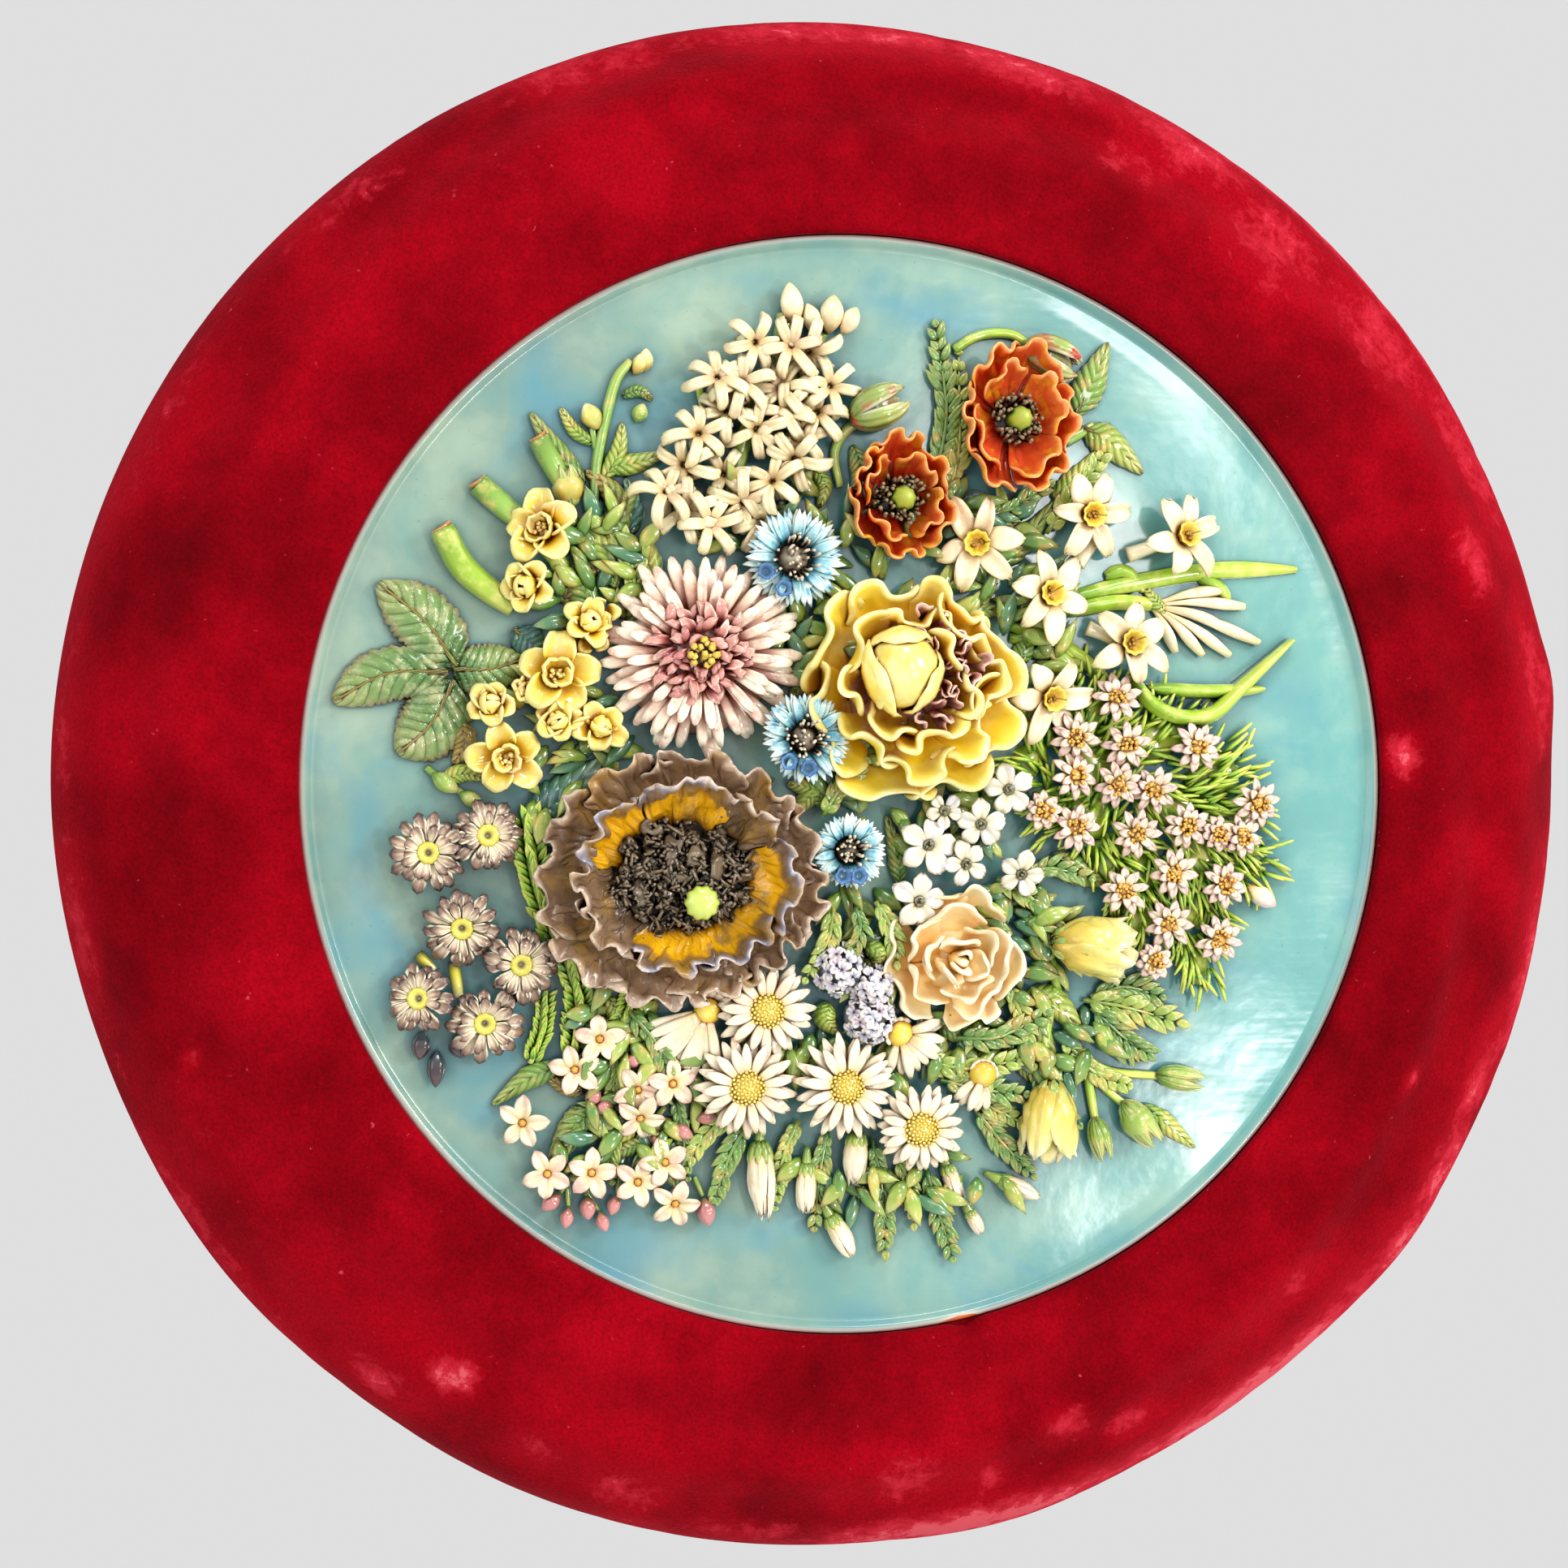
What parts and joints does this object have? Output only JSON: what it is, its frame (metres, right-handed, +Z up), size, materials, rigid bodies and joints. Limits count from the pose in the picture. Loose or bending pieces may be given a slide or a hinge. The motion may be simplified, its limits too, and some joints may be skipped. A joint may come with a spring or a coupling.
{
  "type": "wall plaque",
  "caption": "Round wall plaque: glazed earthenware disc with flowers in high relief, set in a padded crimson velvet ring.",
  "frame": {"origin": "the middle of the flat back of the board, on the wall that the plaque hangs on", "axes": "+Z up the wall, +Y into the wall, the flowers face -Y, +X to the viewer's right"},
  "size_m": [0.5999, 0.095, 0.6002],
  "materials": {
    "glazed_earthenware": "glossy coloured glaze, crazed and pooled in the hollows",
    "crimson_velvet": "cut pile, crushed in patches",
    "bare_wood": "plain sanded, aged"
  },
  "bodies": {
    "root": {"plaque": "glazed_earthenware", "velvet_frame": "crimson_velvet", "back_board": "bare_wood"}
  },
  "joints": []
}
